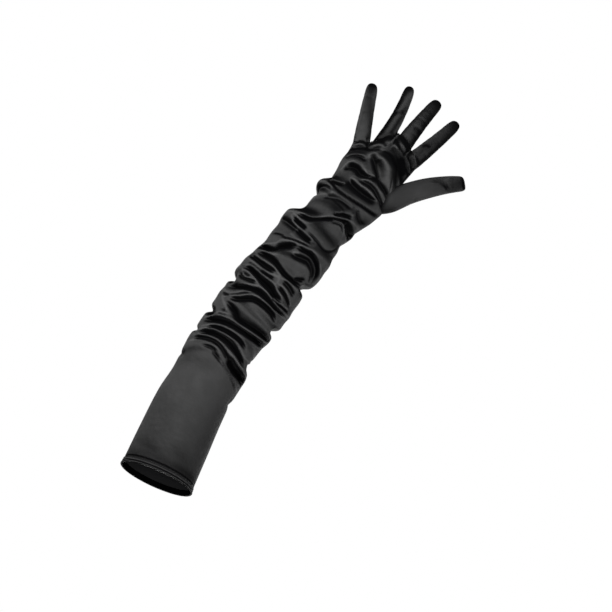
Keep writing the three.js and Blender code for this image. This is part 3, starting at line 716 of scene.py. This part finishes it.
def build_hand():
    """The folded skin of the arm and hand, the way inwards from it, and its painted light."""
    station, angle, outward = plain_station, plain_angle, plain_outward
    height = height_at(station)
    sharp, painted_light = fold_field(angle, height)
    fold = sum(share * softened(sharp, reach) for reach, share in SOFTNESS)
    # small gathers that no line draws: a slow ripple between the folds
    around = np.radians(angle)
    loose = smoothstep(station, 0.34, 0.42) * (1 - smoothstep(station, 1.0, 1.25))
    sway = 2.0 * np.sin(around + height / 31) + 1.3 * np.sin(2 * around - height / 17)
    ripple = RIPPLE * loose * np.sin(height / 3.1 + sway)
    # painted shade just above the turned band
    painted_shade_above_hem = np.exp(-(((height - HEM_SHADE_HEIGHT) / HEM_SHADE_REACH) ** 2))
    painted_light = painted_light * (1 - HEM_SHADE * painted_shade_above_hem)
    off_web = ((angle - WEB_ANGLE) / WEB_TURN) ** 2 + ((station - WEB_STATION) / WEB_SPAN) ** 2
    web = WEB_RISE * np.exp(-off_web)
    sunk = (fold + ripple) * (1 - smoothstep(station, 1.97, 2.0)) - web
    points = plain_points - outward * sunk[..., None]
    below = outward * (deepest(sunk) - sunk + WALL)[..., None]
    return points, below, painted_light


def towards_tip(t, even, power):
    """Shares of the way to a digit's tip, closer together near it."""
    return even * t + (1 - even) * (1 - (1 - t) ** power)


# Soft creases at the digits' joints: the share of the length, the depth and the slant
FINGER_WRINKLES = [(0.16, 0.5, 0.05), (0.3, 0.22, -0.04), (0.47, 0.4, 0.03), (0.72, 0.25, -0.02)]
THUMB_WRINKLES = [(0.2, 0.2, 0.06), (0.88, 0.12, -0.06)]


def wrinkled(rows, digit, at, angle, wide):
    """How far soft creases, each wide millimetres to a side, sink a digit's skin."""
    sunk = np.zeros_like(at)
    for place, deep, slant in rows:
        line = place + slant * np.sin(np.radians(angle))
        far = (at - line) * digit["length"]
        sunk += deep * np.exp(-np.abs(far / wide) ** 1.4)
    return sunk


FINGER_ROWS = 54
FINGER_END = 0.9985
SEAM_DEPTH = 0.4
SEAM_ABOVE = 2.5
SEAM_WIDE = 0.8


def build_finger(k):
    """The skin of finger k, from its root to its tip."""
    digit = fingers[k]
    start = starts[k][None]
    way = towards_tip(np.linspace(0, 1, FINGER_ROWS + 1)[1:], 0.45, 1.7)
    at = start + (FINGER_END - start) * way[:, None]
    angle = np.repeat(local[None], FINGER_ROWS, 0)
    # the creases are deeper on the palm side
    palm = 0.35 + 0.65 * (0.5 - 0.5 * np.cos(np.radians(angle)))
    wrinkle = palm * wrinkled(FINGER_WRINKLES, digit, at, angle + 40 * k, 1.3)
    # the seam that joins the finger to the hand
    above = (at - start) * digit["length"]
    off_seam = above - SEAM_ABOVE - np.sin(np.radians(2 * angle + 70 * k))
    seam = SEAM_DEPTH * np.exp(-((off_seam / SEAM_WIDE) ** 2)) * smoothstep(above, 0, 1.5)
    return digit_point(digit, at, angle, wrinkle + seam)


class Shell:
    """Vertices and faces gathered for one mesh."""

    def __init__(self):
        self.points = []
        self.faces = []
        self.corners = []
        self.count = 0

    def add(self, points):
        points = np.asarray(points).reshape(-1, 3)
        self.points.append(points)
        self.count += len(points)
        return np.arange(self.count - len(points), self.count)

    def face(self, numbers, places, flip):
        kept = [n for n in range(len(numbers)) if numbers[n] != numbers[n - 1]]
        kept = kept[::-1] if flip else kept
        self.faces.append([numbers[n] for n in kept])
        self.corners.extend(places[n] for n in kept)

    def band(self, low, high, v_low, v_high, flip=False, across=ARM_WIDTH):
        """Faces between two closed rings of vertex numbers. The texture's place runs round
        the ring and then along it, in metres."""
        turn = math.pi * across * MM
        count = len(low)
        for i in range(count):
            j = (i + 1) % count
            a, b = turn * i / count, turn * (i + 1) / count
            places = [(a, v_low), (b, v_low), (b, v_high), (a, v_high)]
            self.face([low[i], low[j], high[j], high[i]], places, flip)

    def cap(self, low, v_low, flip=False):
        """Closes a ring with faces to its middle."""
        tip = self.add(self.array()[low].mean(0))[0]
        turn = math.pi * FINGER_WIDTH * MM
        for i in range(len(low)):
            a, b = turn * i / len(low), turn * (i + 1) / len(low)
            places = [(a, v_low), (b, v_low), ((a + b) / 2, v_low + MM)]
            self.face([low[i], low[(i + 1) % len(low)], tip], places, flip)

    def array(self):
        return np.concatenate(self.points)


def skin_of(shell, grid, finger_grids, flip=False):
    """Adds the hand's rows and the fingers' to the shell and joins them. Returns the numbers
    of the hand's rows."""
    rows = [shell.add(line) for line in grid]
    for k in range(1, 4):
        rows[-1][COLUMNS - k * PER_FINGER] = rows[-1][k * PER_FINGER]
    along = [line[:, 2].mean() * MM for line in grid]
    for step in zip(rows, rows[1:], along, along[1:]):
        shell.band(*step, flip)
    for k, digit_grid in enumerate(finger_grids):
        low = finger_ring(rows[-1], k)
        before = along[-1]
        for line in digit_grid:
            high = shell.add(line)
            after = line[:, 2].mean() * MM
            shell.band(low, high, before, after, flip, FINGER_WIDTH)
            low, before = high, after
        shell.cap(low, before, flip)
    return rows


def vertex_normals(points, faces):
    normals = np.zeros_like(points)
    for size in (3, 4):
        chosen = np.array([f for f in faces if len(f) == size])
        a, b, c, d = points[chosen[:, [0, 1, 2, -1]]].swapaxes(0, 1)
        across = np.cross(c - a, d - b)
        for n in range(size):
            np.add.at(normals, chosen[:, n], across)
    return normals / np.maximum(np.linalg.norm(normals, axis=1, keepdims=True), 1e-12)


def relax(points, faces, weight, rounds):
    """Evens the places of points towards their neighbours' mean, by a weight each."""
    pairs = set()
    for face in faces:
        for a, b in zip(face, [face[-1], *face]):
            pairs.add((min(a, b), max(a, b)))
    pairs = np.array(sorted(p for p in pairs if max(weight[p[0]], weight[p[1]]) > 0.001))
    for _ in range(rounds):
        total = np.zeros_like(points)
        number = np.zeros(len(points))
        for one, other in (pairs.T, pairs.T[::-1]):
            np.add.at(total, one, points[other])
            np.add.at(number, one, 1)
        mean = total / np.maximum(number, 1)[:, None]
        points = np.where(number[:, None] > 0, points + (mean - points) * weight[:, None], points)
    return points


def add_object(name, data):
    made = bpy.data.objects.new(name, data)
    bpy.context.scene.collection.objects.link(made)
    return made


def mesh_object(name, shell):
    mesh = bpy.data.meshes.new(name)
    mesh.from_pydata((shell.array() * MM).tolist(), [], [list(map(int, f)) for f in shell.faces])
    places = mesh.uv_layers.new(name="around_and_along")
    places.data.foreach_set("uv", np.ravel(shell.corners))
    mesh.update()
    mesh.shade_smooth()
    return add_object(name, mesh)


def mark_painted_light(piece, painted_light=()):
    """Gives each vertex its painted light, the painted shade and highlight that set the satin's
    specular level, and a plain stretch's to those after the ones named.
    """
    values = np.full(len(piece.data.vertices), PLAIN_PAINTED_LIGHT)
    values[: len(painted_light)] = painted_light
    marks = piece.data.attributes.new("painted_light", "FLOAT", "POINT")
    marks.data.foreach_set("value", values)


def put(piece, slot, *nodes):
    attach(piece, "root")
    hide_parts(*nodes)


# The satin from the hem to the fingertips, with its inner face
shell = Shell()
hand_grid, below, painted_light = build_hand()
finger_grids = [build_finger(k) for k in range(4)]
outer_rows = skin_of(shell, hand_grid, finger_grids)

# The rows next to the finger roots are evened, to a reach in rows
RELAX_ROUNDS = 6
RELAX_SHARE = 0.5
HAND_RELAXED, FINGER_RELAXED = 7, 5
weight = np.zeros(shell.count)
for away, row in enumerate(outer_rows[::-1]):
    weight[row] = RELAX_SHARE * math.exp(-((away / HAND_RELAXED) ** 2))
finger_weight = RELAX_SHARE * np.exp(-((np.arange(FINGER_ROWS) / FINGER_RELAXED) ** 2))
per_finger = FINGER_ROWS * FINGER_COLUMNS
begins = [len(hand_grid) * COLUMNS + k * (per_finger + 1) for k in range(4)]
for begin in begins:
    weight[begin : begin + per_finger] = np.repeat(finger_weight, FINGER_COLUMNS)
smooth_points = relax(shell.array(), shell.faces, weight, RELAX_ROUNDS)
normals = vertex_normals(smooth_points, shell.faces)
painted_light = np.append(painted_light, np.full(shell.count - painted_light.size, PLAIN_PAINTED_LIGHT))

# Painted shade at the clefts between the fingers, reaching further on the palm side
CLEFT_SHADE = 7
clefts = np.array([ring[PER_FINGER] for ring in rings[:3]])
from_cleft = np.linalg.norm(smooth_points[:, None] - clefts, axis=-1).min(1)
cleft_reach = CLEFT_SHADE * (1 + smoothstep(smooth_points[:, 1], -4, 1))
painted_light = painted_light * smoothstep(from_cleft / cleft_reach, 0.4, 1)
points, painted_light, room = relief(smooth_points, normals, painted_light)

# The inner face lies under the deepest fold nearby, so that its few rows stay inside
INNER_CUFF_STEP, INNER_STEP = 4, 7
UNDER_CREASE = 1.2
last_row = len(hand_grid) - 1
inner_rows = [*range(0, CUFF_ROWS, INNER_CUFF_STEP), *range(CUFF_ROWS, last_row - 5, INNER_STEP)]
inner_finger = [*range(5, FINGER_ROWS, INNER_STEP), FINGER_ROWS - 1]
inward = smooth_points - normals * (WALL + UNDER_CREASE * room)[:, None]
inner_hand = [hand_grid[r] - below[r] for r in inner_rows] + [inward[outer_rows[-1]]]
inner_fingers = []
for begin in begins:
    grid = inward[begin : begin + per_finger].reshape(FINGER_ROWS, -1, 3)
    inner_fingers.append(grid[inner_finger])
shell.points = [points]
outer_faces = len(shell.faces)
inner_numbers = skin_of(shell, inner_hand, inner_fingers, flip=True)
shell.band(inner_numbers[0], outer_rows[0], 0, WALL * MM)
glove = mesh_object("glove_satin", shell)
mark_painted_light(glove, painted_light)
put(glove, "satin", "glove_body", "gusset_little_ring", "gusset_ring_middle", "gusset_middle_index")


# The thumb, a tube that starts inside the hand
THUMB_COLUMNS = 52
THUMB_ROWS = 86
THUMB_FROM, THUMB_TO = -0.2, 0.999
THUMB_PAINTED_LIGHT = 0.62


def build_thumb():
    """The thumb's skin and its painted light, which grows from none inside the hand to a little
    painted highlight where the thumb leaves it.
    """
    way = towards_tip(np.linspace(0, 1, THUMB_ROWS), 0.4, 1.9)
    at = np.repeat((THUMB_FROM + (THUMB_TO - THUMB_FROM) * way)[:, None], THUMB_COLUMNS, 1)
    angle = np.repeat([ring_angles(THUMB_COLUMNS)], THUMB_ROWS, 0)
    wrinkle = wrinkled(THUMB_WRINKLES, thumb, at, angle + 60, 1.6)
    points = digit_point(thumb, at, angle, wrinkle)
    centre, half_width, half_depth, _ = sections(station_at(points[..., 2]))
    out = np.hypot((points[..., 0] - centre) / half_width, points[..., 1] / half_depth)
    return points, THUMB_PAINTED_LIGHT * smoothstep(out, 1.0, 1.16)


thumb_shell = Shell()
thumb_grid, thumb_painted_light = build_thumb()
thumb_rows = [thumb_shell.add(line) for line in thumb_grid]
thumb_along = np.linalg.norm((thumb_grid - thumb_grid[0]).mean(1), axis=-1) * MM
for step in zip(thumb_rows, thumb_rows[1:], thumb_along, thumb_along[1:]):
    thumb_shell.band(*step, across=THUMB_WIDTH)
thumb_shell.cap(thumb_rows[-1], thumb_along[-1])
thumb_points = thumb_shell.array()
thumb_normals = vertex_normals(thumb_points, thumb_shell.faces)
thumb_painted_light = np.append(thumb_painted_light, PLAIN_PAINTED_LIGHT)
thumb_points, thumb_painted_light, _ = relief(thumb_points, thumb_normals, thumb_painted_light)
thumb_shell.points = [thumb_points]
thumb_piece = mesh_object("thumb_satin", thumb_shell)
mark_painted_light(thumb_piece, thumb_painted_light)
put(thumb_piece, "satin", "thumb")


# The turned band at the hem, with a rolled lower edge: how far up and how far out each row
# lies, and its painted light, painted shade where low and painted highlight where high
BAND_PROFILE = [
    (0.98, 0.0, 0),
    (1.0, 0.2, 0.05),
    (0.96, 0.35, 0.1),
    (0.8, 0.45, 0.12),
    (0.62, 0.6, 0.2),
    (0.52, 0.85, 0.6),
    (0.42, 0.85, 0.55),
    (0.35, 0.5, 0.05),
    (0.28, 0.55, 0.05),
    (0.22, 1.05, 0.45),
    (0.12, 1.2, 0.75),
    (0.04, 1.05, 0.7),
    (0.0, 0.7, 0.4),
    (0.0, 0.1, 0.2),
    (0.04, -0.45, 0.2),
    (0.12, -0.75, 0.2),
    (0.3, -0.8, 0.2),
    (0.7, -0.8, 0.2),
    (1.0, -0.75, 0.2),
    (1.04, -0.4, 0),
]
BAND_COLUMNS = 200


def build_band():
    angle = ring_angles(BAND_COLUMNS)
    shell = Shell()
    rows = []
    for up, out, _ in BAND_PROFILE:
        station = np.full(BAND_COLUMNS, up * HEM_HEIGHT / SLEEVE_LENGTH)
        rows.append(shell.add(hand_surface(station, angle, -out)))
    for n in range(len(rows)):
        shell.band(rows[n], rows[(n + 1) % len(rows)], n * MM, (n + 1) * MM, True)
    return shell


band = mesh_object("hem_satin_band", build_band())
mark_painted_light(band, np.repeat([row[2] for row in BAND_PROFILE], BAND_COLUMNS))
put(band, "hem_satin", "hem_band")


# The hem's stitches, short threads end to end round the band
STITCHES = 96
STITCH_SHARE = 0.66
STITCH_UP = 0.8
STITCH_OUT = 0.5
STITCH_THICK = 0.3
STITCH_SIDES = 6
STITCH_RINGS = 5


def build_stitches():
    shell = Shell()
    station = STITCH_UP * HEM_HEIGHT / SLEEVE_LENGTH
    turned = 2 * math.pi * np.arange(STITCH_SIDES) / STITCH_SIDES
    for n in range(STITCHES):
        rings = []
        for along in np.linspace(-1, 1, STITCH_RINGS):
            angle = 360 * (n + 0.5 * STITCH_SHARE * along) / STITCHES
            thick = STITCH_THICK * math.sqrt(max(1 - along**4, 0.04))
            ring = hand_surface(station, angle, -STITCH_OUT - thick * np.cos(turned))
            ring[:, 2] += thick * np.sin(turned)
            rings.append(shell.add(ring))
        for low, high in zip(rings, rings[1:]):
            shell.band(low, high, 0, MM, True)
        shell.cap(rings[0], 0)
        shell.cap(rings[-1], 0, True)
    return shell


stitches = mesh_object("hem_stitches", build_stitches())
mark_painted_light(stitches)
put(stitches, "hem_satin", "hem_band")


def add_node(tree, kind, values=None):
    """A new shader node with values set on its sockets."""
    node = tree.nodes.new("ShaderNode" + kind)
    for name, value in (values or {}).items():
        node.inputs[name].default_value = value
    return node


def join(source, output, target, socket):
    source.id_data.links.new(source.outputs[output], target.inputs[socket])


def new_material(name, values):
    """A material of one shader, and the shader."""
    material = bpy.data.materials.new(name)
    material.use_nodes = True
    tree = material.node_tree
    tree.nodes.clear()
    shader = add_node(tree, "BsdfPrincipled", values)
    join(shader, "BSDF", add_node(tree, "OutputMaterial"), "Surface")
    return material, shader


def satin_material(name, colour, rough):
    material, shader = new_material(name, {"Base Color": (*colour, 1), "Anisotropic": 0.97})
    tree = material.node_tree
    # the threads that spread the gloss run round the arm
    threads = add_node(tree, "Tangent")
    threads.direction_type = "UV_MAP"
    threads.uv_map = "around_and_along"
    join(threads, "Tangent", shader, "Tangent")
    place = add_node(tree, "TexCoord")

    def noise(scale, detail, stretch=(1, 1, 1)):
        mapping = add_node(tree, "Mapping", {"Scale": stretch})
        join(place, "Object", mapping, "Vector")
        texture = add_node(tree, "TexNoise", {"Scale": scale, "Detail": detail})
        join(mapping, "Vector", texture, "Vector")
        return texture

    # a slightly uneven roughness
    limits = {"From Min": 0.3, "From Max": 0.7, "To Min": rough - 0.03, "To Max": rough + 0.04}
    ramp = add_node(tree, "MapRange", limits)
    join(noise(60, 4), "Fac", ramp, "Value")
    join(ramp, "Result", shader, "Roughness")
    # painted shade on a valley's floor and painted highlight on a crest, set through the satin's
    # specular level
    painted_light = add_node(tree, "Attribute")
    painted_light.attribute_name = "painted_light"
    painted_sheen_curve = add_node(tree, "FloatCurve")
    points = painted_sheen_curve.mapping.curves[0].points
    points[0].location = (0, 0)
    points[1].location = (1, 1)
    points.new(0.5, 0.6)
    painted_sheen_curve.mapping.update()
    join(painted_light, "Fac", painted_sheen_curve, "Value")
    join(painted_sheen_curve, "Value", shader, "Specular IOR Level")
    # the fine weave, and a soft unevenness over it
    weave = add_node(tree, "TexWave", {"Scale": 900, "Distortion": 1.5, "Detail": 1})
    weave.bands_direction = "DIAGONAL"
    join(place, "Object", weave, "Vector")
    fine = add_node(tree, "Bump", {"Strength": 0.12, "Distance": 0.0001})
    join(weave, "Fac", fine, "Height")
    soft = add_node(tree, "Bump", {"Strength": 0.12, "Distance": 0.0012})
    join(noise(140, 3, (1, 1, 1.6)), "Fac", soft, "Height")
    join(fine, "Normal", soft, "Normal")
    join(soft, "Normal", shader, "Normal")
    return material


satin = satin_material("black_satin", (0.004, 0.004, 0.0044), 0.57)
dull = {"Base Color": (0.045, 0.045, 0.047, 1), "Roughness": 0.85, "Specular IOR Level": 0.2}
underside, _ = new_material("satin_underside", dull)
hem_satin = satin_material("turned_black_satin", (0.005, 0.005, 0.0055), 0.6)
for piece in (glove, thumb_piece):
    piece.data.materials.append(satin)
glove.data.materials.append(underside)
inner = np.arange(len(glove.data.polygons)) >= outer_faces
glove.data.polygons.foreach_set("material_index", inner.astype(int))
band.data.materials.append(hem_satin)
stitches.data.materials.append(satin_material("black_thread", (0.012, 0.012, 0.012), 0.5))


# A pale floor far below, to the horizon
FLOOR_HEIGHT = -0.62
FLOOR_REACH = 60
floor_mesh = bpy.data.meshes.new("floor")
sides = [(-1, -1), (1, -1), (1, 1), (-1, 1)]
corners = [(x * FLOOR_REACH, y * FLOOR_REACH, FLOOR_HEIGHT) for x, y in sides]
floor_mesh.from_pydata(corners, [], [(0, 1, 2, 3)])
floor = add_object("floor", floor_mesh)
pale = {"Base Color": (0.85, 0.85, 0.85, 1), "Roughness": 0.8}
glow = {"Emission Color": (1, 1, 1, 1), "Emission Strength": 0.75}
floor_material, _ = new_material("pale_floor", pale | glow)
floor_mesh.materials.append(floor_material)
floor.visible_glossy = False
floor.visible_diffuse = False

# Surroundings that the camera sees white and that light the glove a little
world = bpy.data.worlds.new("studio")
bpy.context.scene.world = world
world.use_nodes = True
sky = world.node_tree
sky.nodes.clear()
mix = add_node(sky, "MixShader")
join(add_node(sky, "LightPath"), "Is Camera Ray", mix, "Fac")
for socket, colour, strength in ((1, (0.2, 0.2, 0.21, 1), 0.04), (2, (1, 1, 1, 1), 1)):
    shown = add_node(sky, "Background", {"Color": colour, "Strength": strength})
    join(shown, "Background", mix, socket)
join(mix, "Shader", add_node(sky, "OutputWorld"), "Surface")

level, upright, forward = Vector(LEVEL), Vector(UPRIGHT), Vector(FORWARD)
image_right = level * math.cos(ROLL) + upright * math.sin(ROLL)
image_up = -level * math.sin(ROLL) + upright * math.cos(ROLL)
SENSOR = 36
FRAME_PIXELS = 612
camera_data = bpy.data.cameras.new("camera")
camera_data.sensor_width = SENSOR
camera_data.lens = SENSOR * SHEET_AWAY / FRAME_PIXELS
camera_data.clip_end = 50
camera = add_object("camera", camera_data)
turn = Matrix((image_right, image_up, -forward)).transposed()
camera.matrix_world = Matrix.Translation(Vector(CAMERA_AT) * MM) @ turn.to_4x4()
bpy.context.scene.camera = camera

# The lights are soft. All face this point in the glove's middle.
MIDDLE = Vector((0.0, 0.0, 0.25))


def soft_light(name, right, up, back, wide, tall, power):
    """An area light, its place from MIDDLE given across and along the arm and towards the
    camera, all in metres."""
    data = bpy.data.lights.new(name, "AREA")
    data.shape = "RECTANGLE"
    data.size = wide
    data.size_y = tall
    data.energy = power
    lamp = add_object(name, data)
    lamp.visible_camera = False
    at = MIDDLE + level * right + upright * up - forward * back
    away = (at - MIDDLE).normalized()
    side = (level - away * level.dot(away)).normalized()
    turn = Matrix((side, away.cross(side), away)).transposed()
    lamp.matrix_world = Matrix.Translation(at) @ turn.to_4x4()


soft_light("front", -1.3, 1.4, 1.7, 3.0, 0.9, 45)
soft_light("thumb_side", 1.6, 1.12, 1.4, 0.9, 0.9, 16)
soft_light("palm_side", 0.35, -0.7, -2.0, 3.0, 2.4, 90)
soft_light("below", 0.05, -0.55, 0.62, 0.25, 0.25, 0.7)
soft_light("high", -0.72, 1.85, 1.35, 1.4, 0.5, 6)

bpy.context.scene.view_settings.view_transform = "Standard"
